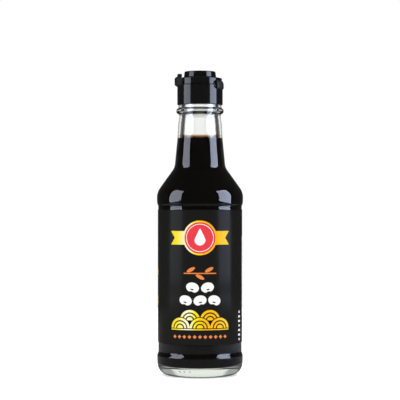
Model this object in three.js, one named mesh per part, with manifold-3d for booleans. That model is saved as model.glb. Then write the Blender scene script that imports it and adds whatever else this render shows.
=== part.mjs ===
// Sauce bottle: clear glass, filled with dark sauce, with a wrap label and a shut flip-top cap.
// Millimetres, +Z up, origin at the middle of the ring that the bottle stands on.
// The front of the label faces -Y, the cap's thumb tab is at -X and its hinge at +X.
import * as THREE from 'three';
import { mergeVertices } from 'three/addons/utils/BufferGeometryUtils.js';
import Module from 'manifold-3d';

// Driving dimensions of the glass, outside
const aroundSteps = 48;
const bearingRadius = 16.65;
const bearingWidth = 2.0;
const pushUpHeight = 2.4;
const heelArc = 7.0;
const heelBulgeRadius = 23.75;
const heelBulgeZ = 9.5;
const heelEndRadius = 23.63;
const heelEndZ = 12.3;
const panelRadius = 23.1;
const panelBottomZ = 13.8;
const panelTopZ = 92.2;
const stepMiddleRadius = 23.5;
const stepMiddleZ = 94.2;
const stepTopRadius = 23.8;
const stepTopZ = 96.1;
const shoulderRadius = 23.87;
const shoulderZ = 98.05;
const shoulderArc = 10.0;
const coneDeg = 36;
const neckBaseRadius = 13.83;
const neckBaseZ = 116.98;
const neckFilletArc = 7.0;
const neckTaperDeg = 4.9;
const neckMiddleRadius = 12.45;
const neckMiddleZ = 131.0;
const neckTopRadius = 11.9;
const neckTopZ = 139.7;
const undercutRadius = 11.43;
const undercutZ = 142.9;
const beadCentreRadius = 11.27;
const beadCentreZ = 146.4;
const beadArc = 1.83;
const beadSweepDeg = 75;
const collarRadius = 11.9;
const collarTopZ = 149.3;
const finishRadius = 10.6;
const finishTopZ = 159.4;
const lipArc = 0.8;

// Driving dimensions of the glass, inside
const bodyWall = 2.0;
const shoulderWall = 2.5;
const neckWall = 2.9;
const floorZ = 5.3;
const floorRise = 3.2;
const floorRiseHalfway = 2.4;
const floorCornerArc = 3.0;
const neckInnerMiddleRadius = 9.5;
const neckInnerMiddleZ = 132.5;
const neckInnerTopRadius = 8.55;
const neckInnerTopZ = 142.6;
const mouthInnerRadius = 8.4;

// Sauce
const sauceLevelZ = 131.4;
const meniscusRise = 1.5;
const meniscusReach = 2.2;
const meniscusEdge = 0.25;
const sauceGap = 0.06;

// Label
const labelInnerRadius = 23.2;
const labelThickness = 0.2;
const labelBottomZ = 18.6;
const labelTopZ = 91.7;
const labelSeam = 2.0;

// Cap
const capRadius = 12.6;
const capBottomZ = 149.7;
const capSocketRadius = 10.9;
const capSocketTopZ = 159.7;
const partingZ = 160.7;
const partingGroove = 0.3;
const partingDepth = 0.45;
const lidRadius = 12.15;
const lidShoulderZ = 164.5;
const lidShoulderRise = 0.5;
const lidEdgeArc = 0.45;
const discBaseRadius = 8.9;
const discTopRadius = 8.55;
const discEdgeArc = 0.5;
const capTopZ = 168.5;
const capTopDome = 0.2;

// Thumb tab on the lid and hinge across the parting line
const tabReach = 14.1;
const tabBottomZ = 159.9;
const tabShoulderZ = 164.5;
const tabChamfer = 1.1;
const tabKnobOuterRadius = 12.5;
const tabRootRadius = 10.1;
const tabHalfDeg = 40;
const tabKnobInnerRadius = 10.9;
const tabKnobTopZ = 166.8;
const tabKnobRound = 0.8;
const tabKnobHalfDeg = 20;
const hingeReach = 13.25;
const hingeBottomZ = 157.8;
const hingeTopZ = 162.8;
const hingeRound = 1.5;
const hingeRootDepth = 1.5;
const hingeHalfDeg = 34;
const hingeRecessHalfDeg = 52;
const hingeRecessDepth = 0.7;
const hingeRecessMargin = 0.4;

const mergeDistance = 1e-4;
const wasm = await Module();
wasm.setup();

const rad = THREE.MathUtils.degToRad;

// Points (radius, height) on an arc about a centre, from one angle to another
function arc(centreRadius, centreZ, radius, fromDeg, toDeg, steps) {
  const points = [];
  for (let i = 0; i <= steps; i += 1) {
    const angle = rad(fromDeg + ((toDeg - fromDeg) * i) / steps);
    points.push(point(centreRadius + radius * Math.cos(angle), centreZ + radius * Math.sin(angle)));
  }
  return points;
}

function point(radius, z) {
  return new THREE.Vector2(radius, z);
}

// Solid of revolution about Z; the profile runs up the outside and back down the inside
function turned(profile) {
  return new THREE.LatheGeometry(profile, aroundSteps).rotateX(Math.PI / 2);
}

function toSolid(geometry) {
  const bare = geometry.clone();
  bare.deleteAttribute('normal');
  bare.deleteAttribute('uv');
  const merged = mergeVertices(bare, mergeDistance);
  const corners = merged.index.array;
  const triangles = [];
  for (let i = 0; i < corners.length; i += 3) {
    const [a, b, c] = [corners[i], corners[i + 1], corners[i + 2]];
    const whole = a !== b && b !== c && c !== a;
    if (whole) triangles.push(a, b, c);
  }
  return new wasm.Manifold(new wasm.Mesh({
    numProp: 3,
    vertProperties: new Float32Array(merged.attributes.position.array),
    triVerts: new Uint32Array(triangles),
  }));
}

function toGeometry(solid) {
  const { vertProperties, triVerts } = solid.getMesh();
  const geometry = new THREE.BufferGeometry();
  geometry.setAttribute('position', new THREE.BufferAttribute(vertProperties, 3));
  geometry.setIndex(new THREE.BufferAttribute(triVerts, 1));
  geometry.computeVertexNormals();
  return geometry;
}

// Centres that the outer and inner curves of the shoulder and the neck share
const shoulderCentreRadius = shoulderRadius - shoulderArc;
const neckFilletCentre = point(
  neckBaseRadius + neckFilletArc * Math.cos(rad(neckTaperDeg)),
  neckBaseZ + neckFilletArc * Math.sin(rad(neckTaperDeg)),
);

function neckFillet(radius, steps) {
  const { x, y } = neckFilletCentre;
  return arc(x, y, radius, 180 + coneDeg, 180 + neckTaperDeg, steps);
}

// Underside: a shallow dome inside the flat ring that the bottle stands on
function glassUnderside() {
  const domeRadius = bearingRadius - bearingWidth;
  const points = [];
  const steps = 4;
  for (let i = 0; i <= steps; i += 1) {
    const radius = (domeRadius * i) / steps;
    points.push(point(radius, pushUpHeight * (1 - (radius / domeRadius) ** 2)));
  }
  return points;
}

function glassOutside() {
  const lipCentreRadius = finishRadius - lipArc;
  return [
    ...arc(bearingRadius, heelArc, heelArc, -90, 0, 6),
    point(heelBulgeRadius, heelBulgeZ),
    point(heelEndRadius, heelEndZ),
    point(panelRadius, panelBottomZ),
    point(panelRadius, panelTopZ),
    point(stepMiddleRadius, stepMiddleZ),
    point(stepTopRadius, stepTopZ),
    ...arc(shoulderCentreRadius, shoulderZ, shoulderArc, 0, coneDeg, 4),
    ...neckFillet(neckFilletArc, 3),
    point(neckMiddleRadius, neckMiddleZ),
    point(neckTopRadius, neckTopZ),
    point(undercutRadius, undercutZ),
    ...arc(beadCentreRadius, beadCentreZ, beadArc, -beadSweepDeg, beadSweepDeg, 8),
    point(collarRadius, collarTopZ),
    point(finishRadius, collarTopZ),
    ...arc(lipCentreRadius, finishTopZ - lipArc, lipArc, 0, 90, 2),
  ];
}

// Inner surface from the middle of the floor up to the bead, moved inwards by a clearance
function glassInside(clearance) {
  const bodyRadius = panelRadius - bodyWall;
  const cornerCentreRadius = bodyRadius - floorCornerArc;
  return [
    point(0, floorZ + floorRise + clearance),
    point(cornerCentreRadius / 2, floorZ + floorRiseHalfway + clearance),
    ...arc(cornerCentreRadius, floorZ + floorCornerArc, floorCornerArc - clearance, -90, 0, 4),
    ...arc(shoulderCentreRadius, shoulderZ, shoulderArc - shoulderWall - clearance, 0, coneDeg, 4),
    ...neckFillet(neckFilletArc + neckWall + clearance, 3),
    point(neckInnerMiddleRadius - clearance, neckInnerMiddleZ),
    point(neckInnerTopRadius - clearance, neckInnerTopZ),
  ];
}

function bottleGeometry() {
  return turned([
    ...glassUnderside(),
    ...glassOutside(),
    point(mouthInnerRadius, finishTopZ),
    ...glassInside(0).reverse(),
  ]);
}

// Sauce up to the level shown, with its edge drawn up the glass
function sauceGeometry() {
  const wall = glassInside(sauceGap);
  const rimZ = sauceLevelZ + meniscusRise;
  const above = wall.findIndex((each) => each.y > rimZ);
  const [low, high] = [wall[above - 1], wall[above]];
  const rim = low.clone().lerp(high, (rimZ - low.y) / (high.y - low.y));
  const meniscus = [0, 0.5, 1].map((part) => {
    const climb = (1 - part) ** 2;
    return point(rim.x - meniscusEdge - meniscusReach * part, sauceLevelZ + meniscusRise * climb);
  });
  return turned([...wall.slice(0, above), rim, ...meniscus, point(0, sauceLevelZ)]);
}

// Wrap label: a thin open ring with its seam at the back
function labelGeometry() {
  const seamHalf = labelSeam / 2 / labelInnerRadius;
  const from = Math.PI / 2 + seamHalf;
  const to = Math.PI * 2.5 - seamHalf;
  const outline = new THREE.Shape();
  outline.absarc(0, 0, labelInnerRadius + labelThickness, from, to, false);
  outline.absarc(0, 0, labelInnerRadius, to, from, true);
  const extrude = { depth: labelTopZ - labelBottomZ, bevelEnabled: false, curveSegments: aroundSteps / 2 };
  return new THREE.ExtrudeGeometry(outline, extrude).translate(0, 0, labelBottomZ);
}

// The part of a turned ring that lies within an angle of a direction about Z
function sector(profile, directionDeg, halfDeg) {
  const far = 2 * tabReach;
  const wedge = new THREE.Shape();
  wedge.moveTo(0, 0);
  for (const deg of [directionDeg - halfDeg, directionDeg, directionDeg + halfDeg]) {
    wedge.lineTo(far * Math.cos(rad(deg)), far * Math.sin(rad(deg)));
  }
  const depth = capTopZ - capBottomZ;
  const prism = new THREE.ExtrudeGeometry(wedge, { depth, bevelEnabled: false });
  prism.translate(0, 0, capBottomZ);
  return toSolid(turned([...profile, profile[0]])).intersect(toSolid(prism));
}

// Cap base and shut lid, moulded in one: socket below, groove at the parting line, stepped top
function capShell() {
  const grooveRadius = lidRadius - partingDepth;
  const lidEdgeRadius = lidRadius - lidEdgeArc;
  const discEdgeRadius = discTopRadius - discEdgeArc;
  return turned([
    point(0, capSocketTopZ),
    point(capSocketRadius, capSocketTopZ),
    point(capSocketRadius, capBottomZ),
    point(capRadius, capBottomZ),
    point(capRadius, partingZ - partingGroove / 2),
    point(grooveRadius, partingZ - partingGroove / 2),
    point(grooveRadius, partingZ + partingGroove / 2),
    point(lidRadius, partingZ + partingGroove / 2),
    ...arc(lidEdgeRadius, lidShoulderZ - lidEdgeArc, lidEdgeArc, 0, 90, 2),
    point(discBaseRadius, lidShoulderZ + lidShoulderRise),
    ...arc(discEdgeRadius, capTopZ - capTopDome - discEdgeArc, discEdgeArc, 0, 90, 2),
    point(0, capTopZ),
  ]);
}

function capGeometry() {
  const tab = sector([
    point(tabRootRadius, tabBottomZ),
    point(capRadius, tabBottomZ),
    point(tabReach, partingZ),
    point(tabReach, tabShoulderZ - tabChamfer),
    point(tabReach - tabChamfer, tabShoulderZ),
    point(tabRootRadius, tabShoulderZ),
  ], 180, tabHalfDeg);
  const knob = sector([
    point(tabKnobInnerRadius, tabBottomZ),
    point(capRadius, tabBottomZ),
    point(tabReach, partingZ),
    point(tabReach, tabShoulderZ),
    point(tabReach - tabChamfer, tabShoulderZ + tabChamfer),
    point(tabKnobOuterRadius, tabKnobTopZ - tabKnobRound),
    point(tabKnobOuterRadius - tabKnobRound, tabKnobTopZ),
    point(tabKnobInnerRadius, tabKnobTopZ - tabKnobRound / 2),
  ], 180, tabKnobHalfDeg);
  const recess = sector([
    point(lidRadius - hingeRecessDepth, hingeBottomZ - hingeRecessMargin),
    point(tabReach, hingeBottomZ - hingeRecessMargin),
    point(tabReach, hingeTopZ + hingeRecessMargin),
    point(lidRadius - hingeRecessDepth, hingeTopZ + hingeRecessMargin),
  ], 0, hingeRecessHalfDeg);
  const hinge = sector([
    point(lidRadius - hingeRootDepth, hingeBottomZ),
    point(lidRadius, hingeBottomZ),
    point(hingeReach, hingeBottomZ + hingeRound),
    point(hingeReach, hingeTopZ - hingeRound),
    point(lidRadius, hingeTopZ),
    point(lidRadius - hingeRootDepth, hingeTopZ),
  ], 0, hingeHalfDeg);
  return toGeometry(toSolid(capShell()).subtract(recess).add(hinge).add(tab).add(knob));
}

const glass = new THREE.MeshStandardMaterial({
  color: 0xe8ece4, roughness: 0.04, metalness: 0, transparent: true, opacity: 0.35,
});
const sauce = new THREE.MeshStandardMaterial({ color: 0x140b07, roughness: 0.1, metalness: 0 });
const printedLabel = new THREE.MeshStandardMaterial({ color: 0x1d1d1b, roughness: 0.4, metalness: 0 });
const blackPlastic = new THREE.MeshStandardMaterial({ color: 0x161617, roughness: 0.25, metalness: 0 });

const group = new THREE.Group();

function addPiece(name, geometry, material) {
  const mesh = new THREE.Mesh(geometry, material);
  mesh.name = name;
  group.add(mesh);
}

addPiece('bottle', bottleGeometry(), glass);
addPiece('sauce', sauceGeometry(), sauce);
addPiece('label', labelGeometry(), printedLabel);
addPiece('cap', capGeometry(), blackPlastic);

export default group;
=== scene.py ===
import math
import bmesh
import bpy
from mathutils import Matrix, Vector


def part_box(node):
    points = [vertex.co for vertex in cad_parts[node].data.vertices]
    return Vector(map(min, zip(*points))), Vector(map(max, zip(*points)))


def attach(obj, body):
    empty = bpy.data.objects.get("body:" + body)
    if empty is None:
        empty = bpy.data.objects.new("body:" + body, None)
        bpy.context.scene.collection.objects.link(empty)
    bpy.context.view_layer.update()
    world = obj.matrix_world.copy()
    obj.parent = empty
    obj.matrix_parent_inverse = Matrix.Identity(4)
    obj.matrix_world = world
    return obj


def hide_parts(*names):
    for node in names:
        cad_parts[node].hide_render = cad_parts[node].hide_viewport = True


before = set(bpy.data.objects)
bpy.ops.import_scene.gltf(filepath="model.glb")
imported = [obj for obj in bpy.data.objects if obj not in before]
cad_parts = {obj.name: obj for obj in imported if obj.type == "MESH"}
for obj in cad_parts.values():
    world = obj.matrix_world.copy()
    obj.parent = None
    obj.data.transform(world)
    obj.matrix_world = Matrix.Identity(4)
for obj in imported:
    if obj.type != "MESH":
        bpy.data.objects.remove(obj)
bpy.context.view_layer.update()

scene = bpy.context.scene
mm = 0.001
mergeGap = 0.0005  # millimetres: points closer than this become one
lookUp = 0.9  # a face whose normal rises this much looks up
print("frame loaded:", sorted(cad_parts))


# Helpers for meshes
def spin(bm, geom, centre, axis, turnDeg, steps, merge=False):
    return bmesh.ops.spin(
        bm, geom=geom, cent=centre, axis=axis, dvec=(0, 0, 0), angle=math.radians(turnDeg),
        steps=steps, use_merge=merge, use_duplicate=False)


def onlyVerts(geom):
    return [each for each in geom if isinstance(each, bmesh.types.BMVert)]


# A pen draws the lines and arcs of a profile in the plane y = 0, in millimetres
class Pen:
    def __init__(self, bm, radius, z):
        self.bm = bm
        self.last = bm.verts.new((radius * mm, 0, z * mm))

    def lineTo(self, radius, z):
        vert = self.bm.verts.new((radius * mm, 0, z * mm))
        self.bm.edges.new((self.last, vert))
        self.last = vert

    def arcTo(self, centreRadius, centreZ, turnDeg, steps):
        made = spin(self.bm, [self.last], (centreRadius * mm, 0, centreZ * mm), (0, -1, 0), turnDeg, steps)
        self.last = onlyVerts(made["geom_last"])[0]

    # Arc that goes on smoothly from a heading
    def turnArc(self, headingDeg, radius, turnDeg, steps):
        side = headingDeg + math.copysign(90, turnDeg)
        self.arcTo(*polar(self.place(), radius, side), turnDeg, steps)

    def place(self):
        return self.last.co.x / mm, self.last.co.z / mm


def drawClosed(bm, corners):
    pen = Pen(bm, *corners[0])
    first = pen.last
    for corner in corners[1:]:
        pen.lineTo(*corner)
    bm.edges.new((pen.last, first))


def polar(centre, radius, deg):
    angle = math.radians(deg)
    return centre[0] + radius * math.cos(angle), centre[1] + radius * math.sin(angle)


# A whole turn of the profile round the upright axis
def spinRound(bm, steps):
    spin(bm, bm.verts[:] + bm.edges[:], (0, 0, 0), (0, 0, 1), 360, steps, merge=True)
    bmesh.ops.remove_doubles(bm, verts=bm.verts[:], dist=mergeGap * mm)
    bmesh.ops.recalc_face_normals(bm, faces=bm.faces[:])


# Part of a turn, from one angle to another, with open ends
def sweepOpen(bm, fromDeg, toDeg, steps):
    start = Matrix.Rotation(math.radians(fromDeg), 3, "Z")
    bmesh.ops.rotate(bm, verts=bm.verts[:], cent=(0, 0, 0), matrix=start)
    spin(bm, bm.verts[:] + bm.edges[:], (0, 0, 0), (0, 0, 1), toDeg - fromDeg, steps)


# Part of a turn with its two ends filled
def sweepClosed(bm, fromDeg, toDeg, steps):
    sweepOpen(bm, fromDeg, toDeg, steps)
    bmesh.ops.remove_doubles(bm, verts=bm.verts[:], dist=mergeGap * mm)
    bmesh.ops.holes_fill(bm, edges=[e for e in bm.edges if e.is_boundary], sides=0)
    bmesh.ops.recalc_face_normals(bm, faces=bm.faces[:])


# Edges between faces that bend by more than an angle, in radians
def bentEdges(bm, angle):
    return [e for e in bm.edges if len(e.link_faces) == 2 and e.calc_face_angle() > angle]


def roundOff(bm, geom, affect, offset, segments, clamp=False):
    bmesh.ops.bevel(
        bm, geom=geom, offset=offset * mm, offset_type="OFFSET", affect=affect,
        segments=segments, profile=0.5, material=-1, clamp_overlap=clamp)


def meshObject(bm, name, *materials):
    mesh = bpy.data.meshes.new(name)
    bm.to_mesh(mesh)
    bm.free()
    for material in materials:
        mesh.materials.append(material)
    made = bpy.data.objects.new(name, mesh)
    scene.collection.objects.link(made)
    return made


# Turns a drawing into a finished piece; faces that look up can have a material of their own
def finishPiece(bm, name, material, slotName, *nodes, sharpDeg, topMaterial=None):
    for face in bm.faces:
        face.smooth = True
        if topMaterial and face.normal.z > lookUp:
            face.material_index = 1
    materials = (material, topMaterial) if topMaterial else (material,)
    piece = meshObject(bm, name, *materials)
    piece.data.set_sharp_from_angle(angle=math.radians(sharpDeg))
    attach(piece, "root")
    if nodes:
        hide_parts(*nodes)


def smoothStep(low, high, value):
    t = min(max((value - low) / (high - low), 0.0), 1.0)
    return t * t * (3 - 2 * t)


# Helpers for shaders
def join(source, socket):
    source.id_data.links.new(source, socket)


def setInputs(node, values):
    for name, value in values.items():
        node.inputs[name].default_value = value


def newMaterial(name, values):
    material = bpy.data.materials.new(name)
    material.use_nodes = True
    nodes = material.node_tree.nodes
    shader = nodes["Principled BSDF"]
    setInputs(shader, values)
    return material, nodes, shader


# Carries a value from one range to another; a soft one eases in and out
def mapRange(nodes, source, fromRange, toRange=(0.0, 1.0), soft=False):
    mapped = nodes.new("ShaderNodeMapRange")
    if soft:
        mapped.interpolation_type = "SMOOTHSTEP"
    setInputs(mapped, {
        "From Min": fromRange[0], "From Max": fromRange[1], "To Min": toRange[0], "To Max": toRange[1]})
    join(source, mapped.inputs["Value"])
    return mapped.outputs["Result"]


# Colours along a ramp, as places and colours
def addRamp(nodes, source, stops):
    ramp = nodes.new("ShaderNodeValToRGB")
    elements = ramp.color_ramp.elements
    for stop in stops[1:-1]:
        elements.new(stop[0])
    for element, (position, color) in zip(elements, stops):
        element.position = position
        element.color = (*color, 1)
    join(source, ramp.inputs["Fac"])
    return ramp.outputs["Color"]


def addMath(nodes, operation, *sources):
    made = nodes.new("ShaderNodeMath")
    made.operation = operation
    for source, socket in zip(sources, made.inputs):
        join(source, socket)
    return made.outputs["Value"]


def splitVector(nodes, vector):
    split = nodes.new("ShaderNodeSeparateXYZ")
    join(vector, split.inputs["Vector"])
    return split.outputs


# Shared shader effect: slow unevenness of a moulded surface and fine specks, as heights and masks
def makeUnevenGroup():
    group = bpy.data.node_groups.new("mouldedUnevenness", "ShaderNodeTree")
    for name, way, kind in (
            ("Vector", "INPUT", "Vector"), ("Wave Scale", "INPUT", "Float"),
            ("Speck Scale", "INPUT", "Float"), ("Wave", "OUTPUT", "Float"), ("Speck", "OUTPUT", "Float")):
        group.interface.new_socket(name, in_out=way, socket_type="NodeSocket" + kind)
    nodes = group.nodes
    inputs = nodes.new("NodeGroupInput")
    outputs = nodes.new("NodeGroupOutput")
    for name, detail in (("Wave", 1.0), ("Speck", 3.0)):
        noise = nodes.new("ShaderNodeTexNoise")
        noise.inputs["Detail"].default_value = detail
        join(inputs.outputs["Vector"], noise.inputs["Vector"])
        join(inputs.outputs[name + " Scale"], noise.inputs["Scale"])
        join(noise.outputs["Fac"], outputs.inputs[name])
    return group


unevenGroup = makeUnevenGroup()
noiseRange = (0.3, 0.7)  # where most of the noise lies


def addUnevenness(nodes, waveScale, speckScale):
    coords = nodes.new("ShaderNodeTexCoord")
    uneven = nodes.new("ShaderNodeGroup")
    uneven.node_tree = unevenGroup
    join(coords.outputs["Object"], uneven.inputs["Vector"])
    setInputs(uneven, {"Wave Scale": waveScale, "Speck Scale": speckScale})
    return uneven.outputs


def addMottle(nodes, shader, source, dark, light):
    stops = list(zip(noiseRange, (dark, light)))
    join(addRamp(nodes, source, stops), shader.inputs["Base Color"])


def addRoughness(nodes, shader, source, low, high):
    join(mapRange(nodes, source, noiseRange, (low, high)), shader.inputs["Roughness"])


# Relief of a depth in millimetres
def addBump(nodes, shader, source, strength, depth):
    bump = nodes.new("ShaderNodeBump")
    setInputs(bump, {"Strength": strength, "Distance": depth * mm})
    join(source, bump.inputs["Height"])
    join(bump.outputs["Normal"], shader.inputs["Normal"])


def addAbsorption(nodes, color, density):
    absorb = nodes.new("ShaderNodeVolumeAbsorption")
    setInputs(absorb, {"Color": (*color, 1), "Density": density})
    join(absorb.outputs["Volume"], nodes["Material Output"].inputs["Volume"])


# Clear moulded glass; scales are those of waves and specks, a bump is a strength and a depth
glassFinish = {
    "color": (0.985, 0.992, 0.98), "ior": 1.52, "rough": (0.0, 0.03), "scales": (90, 900),
    "bump": (0.06, 0.4), "absorb": (0.84, 0.93, 0.84), "density": 9.0,
}


def makeGlass():
    material, nodes, shader = newMaterial("clearGlass", {
        "Base Color": (*glassFinish["color"], 1), "Transmission Weight": 1.0, "IOR": glassFinish["ior"]})
    uneven = addUnevenness(nodes, *glassFinish["scales"])
    addRoughness(nodes, shader, uneven["Speck"], *glassFinish["rough"])
    addBump(nodes, shader, uneven["Wave"], *glassFinish["bump"])
    addAbsorption(nodes, glassFinish["absorb"], glassFinish["density"])
    return material


# Dark sauce behind glass: black with a trace of brown, but a mirror to light that grazes it in the glass
sauceFinish = {
    "dark": (0.0040, 0.0026, 0.0017), "mirror": (0.97, 0.97, 0.95), "mirrorFrom": 0.02, "ior": 0.86,
    "rough": 0.02, "topRough": 0.6,
}


def makeSauce():
    material, nodes, shader = newMaterial("darkSauce", {
        "Specular IOR Level": 0.0, "Roughness": sauceFinish["rough"]})
    graze = nodes.new("ShaderNodeFresnel")
    graze.inputs["IOR"].default_value = sauceFinish["ior"]
    stops = [(sauceFinish["mirrorFrom"], sauceFinish["dark"]), (1.0, sauceFinish["mirror"])]
    join(addRamp(nodes, graze.outputs["Fac"], stops), shader.inputs["Base Color"])
    join(graze.outputs["Fac"], shader.inputs["Metallic"])
    return material


# Dark sauce under its open surface: no mirror there
def makeSauceSurface():
    return newMaterial("sauceSurface", {
        "Base Color": (*sauceFinish["dark"], 1), "Specular IOR Level": 0.0,
        "Roughness": sauceFinish["topRough"]})[0]


# Dark sauce in a thin layer: clear brown at its edge on the glass
thinFinish = {
    "ior": 1.01, "rough": (0.0, 0.02), "scales": (60, 500), "absorb": (0.68, 0.43, 0.03), "density": 3100.0,
}


def makeThinSauce():
    material, nodes, shader = newMaterial("thinSauce", {
        "Base Color": (1, 1, 1, 1), "Transmission Weight": 1.0, "IOR": thinFinish["ior"]})
    uneven = addUnevenness(nodes, *thinFinish["scales"])
    addRoughness(nodes, shader, uneven["Speck"], *thinFinish["rough"])
    addAbsorption(nodes, thinFinish["absorb"], thinFinish["density"])
    return material


# Satin black label film
filmFinish = {
    "dark": (0.0100, 0.0100, 0.0094), "light": (0.0126, 0.0126, 0.0118), "gloss": 0.05, "rough": (0.17, 0.23),
    "scales": (220, 4000), "bump": (0.04, 0.05),
}


def makeLabelFilm():
    material, nodes, shader = newMaterial("labelFilm", {"Specular IOR Level": filmFinish["gloss"]})
    uneven = addUnevenness(nodes, *filmFinish["scales"])
    addMottle(nodes, shader, uneven["Speck"], filmFinish["dark"], filmFinish["light"])
    addRoughness(nodes, shader, uneven["Wave"], *filmFinish["rough"])
    addBump(nodes, shader, uneven["Speck"], *filmFinish["bump"])
    return material


# Printing inks: a colour with a fine mottle between two shades
inkFinish = {
    "gloss": 0.05, "rough": (0.2, 0.28), "scales": (220, 3500),
    "redInk": ((0.76, 0.045, 0.062), (0.84, 0.06, 0.078)),
    "whiteInk": ((0.86, 0.86, 0.85), (0.94, 0.94, 0.93)),
    "orangeInk": ((0.72, 0.2, 0.045), (0.85, 0.27, 0.07)),
    "creamInk": ((0.68, 0.64, 0.54), (0.76, 0.72, 0.62)),
}


def makeInk(name):
    material, nodes, shader = newMaterial(name, {"Specular IOR Level": inkFinish["gloss"]})
    uneven = addUnevenness(nodes, *inkFinish["scales"])
    addMottle(nodes, shader, uneven["Speck"], *inkFinish[name])
    addRoughness(nodes, shader, uneven["Wave"], *inkFinish["rough"])
    return material


# Gold ink runs through several shades across the label
goldFinish = {
    "gloss": 0.06, "rough": (0.22, 0.34), "scales": (220, 3500), "span": 34.0,
    "stops": [
        (0.0, (0.88, 0.6, 0.008)), (0.14, (0.9, 0.73, 0.012)), (0.3, (0.95, 0.9, 0.66)),
        (0.42, (0.92, 0.74, 0.01)), (0.56, (0.92, 0.5, 0.006)), (0.76, (0.92, 0.47, 0.006)),
        (0.92, (0.9, 0.6, 0.02))],
}


def makeGoldInk():
    material, nodes, shader = newMaterial("goldInk", {"Specular IOR Level": goldFinish["gloss"]})
    uneven = addUnevenness(nodes, *goldFinish["scales"])
    coords = nodes.new("ShaderNodeTexCoord")
    place = nodes.new("ShaderNodeMapping")
    setInputs(place, {"Location": (0.5, 0, 0), "Scale": (1 / (goldFinish["span"] * mm), 1, 1)})
    join(coords.outputs["Object"], place.inputs["Vector"])
    along = splitVector(nodes, place.outputs["Vector"])["X"]
    join(addRamp(nodes, along, goldFinish["stops"]), shader.inputs["Base Color"])
    addRoughness(nodes, shader, uneven["Speck"], *goldFinish["rough"])
    return material


# Black moulded plastic: glossy on the cap, duller on its top, on the thumb tab and on the hinge; hinge and
# tab also get a lighter grey colour, a painted sheen
plasticFinish = {
    "ior": 1.43, "scales": (160, 2600), "bump": (0.05, 0.2),
    "capPlastic": {
        "rough": (0.07, 0.13), "gloss": 0.5,
        "dark": (0.0054, 0.0054, 0.0055), "light": (0.0070, 0.0070, 0.0071)},
    "capTopPlastic": {
        "rough": (0.38, 0.5), "gloss": 0.25,
        "dark": (0.0054, 0.0054, 0.0055), "light": (0.0070, 0.0070, 0.0071)},
    # painted sheen: the hinge's colour is a lighter grey than the cap's and stands in for the soft sheen on
    # its bulge
    "hingePaintedSheenPlastic": {
        "rough": (0.46, 0.58), "gloss": 0.36,
        "dark": (0.008, 0.008, 0.0072), "light": (0.012, 0.012, 0.0108)},
    # painted sheen: the tab's colour is a lighter grey than the cap's and stands in for light caught on its
    # rounded face
    "tabPaintedSheenPlastic": {
        "rough": (0.55, 0.65), "gloss": 0.3,
        "dark": (0.010, 0.010, 0.0092), "light": (0.014, 0.014, 0.013)},
}


def makeCapPlastic(name):
    finish = plasticFinish[name]
    material, nodes, shader = newMaterial(name, {
        "Specular IOR Level": finish["gloss"], "IOR": plasticFinish["ior"]})
    uneven = addUnevenness(nodes, *plasticFinish["scales"])
    addMottle(nodes, shader, uneven["Speck"], finish["dark"], finish["light"])
    addRoughness(nodes, shader, uneven["Speck"], *finish["rough"])
    addBump(nodes, shader, uneven["Wave"], *plasticFinish["bump"])
    return material


clearGlass = makeGlass()
darkSauce = makeSauce()
sauceSurface = makeSauceSurface()
thinSauce = makeThinSauce()
labelFilm = makeLabelFilm()
redInk = makeInk("redInk")
whiteInk = makeInk("whiteInk")
orangeInk = makeInk("orangeInk")
creamInk = makeInk("creamInk")
goldInk = makeGoldInk()
capPlastic = makeCapPlastic("capPlastic")
capTopPlastic = makeCapPlastic("capTopPlastic")
hingePaintedSheenPlastic = makeCapPlastic("hingePaintedSheenPlastic")
tabPaintedSheenPlastic = makeCapPlastic("tabPaintedSheenPlastic")
print("materials made")


# Glass bottle, in millimetres; a row is a spare ring of points that keeps the shading even
glass = {
    "steps": 324, "sharpDeg": 60,
    "bearingRadius": 16.65, "bearingWidth": 2.0, "pushUp": 2.4, "heelArc": 7.0,
    "heelTop": (23.75, 10.8), "heelRow": 1.2,
    "panelRadius": 23.1, "panelBottomZ": 13.4, "panelTopZ": 93.4, "panelRow": 0.4,
    "stepArc": 1.9, "stepDeg": 32, "leanDeg": 5,
    "shoulderRadius": 23.87, "shoulderZ": 98.05, "shoulderArc": 10.0, "coneDeg": 36.0,
    "neckBase": (13.83, 116.98), "neckFillet": 7.0, "taperDeg": 4.9,
    "neckMiddle": (12.45, 131.0), "neckTop": (11.9, 139.7), "undercut": (11.43, 142.9),
    "beadCentre": (11.27, 146.25), "beadArc": 1.83, "beadFillet": 0.6,
    "collarRadius": 11.9, "collarFillet": 0.4, "collarTopZ": 149.6, "collarEdge": 0.1,
    "finishRadius": 10.6, "lipArc": 0.8, "mouthRadius": 8.4,
    "bodyWall": 2.0, "shoulderWall": 2.5, "neckWall": 2.9,
    "floorZ": 5.3, "floorRise": 3.2, "floorCorner": 3.0, "innerRow": 2.0,
    "innerMiddle": (9.5, 132.5), "innerTop": (8.74, 141.9),
    "innerStep": ((8.58, 143.2), (8.58, 142.9), (8.66, 142.5)),
}
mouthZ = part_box("bottle")[1][2] / mm
shoulderCentre = (glass["shoulderRadius"] - glass["shoulderArc"], glass["shoulderZ"])
neckCentre = polar(glass["neckBase"], glass["neckFillet"], glass["taperDeg"])
neckTurn = glass["coneDeg"] - glass["taperDeg"]


# Smooth step between two upright walls, as two equal arcs
def stepTo(pen, start, end, steps):
    out = 1 if end[0] > start[0] else -1
    shift, rise = abs(end[0] - start[0]), end[1] - start[1]
    arc = (shift * shift + rise * rise) / (4 * shift)
    turn = math.degrees(2 * math.atan2(shift, rise))
    pen.arcTo(start[0] + out * arc, start[1], -out * turn, steps)
    pen.arcTo(end[0] - out * arc, end[1], out * turn, steps)


# Round fillet between an upright wall and the bead, above it (side 1) or below it (side -1)
def beadFillet(wallRadius, fillet, side):
    centreRadius, centreZ = glass["beadCentre"]
    across = wallRadius + fillet - centreRadius
    reach = glass["beadArc"] + fillet
    up = math.sqrt(reach * reach - across * across)
    return (wallRadius + fillet, centreZ + side * up), math.degrees(math.atan2(up, across))


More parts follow.
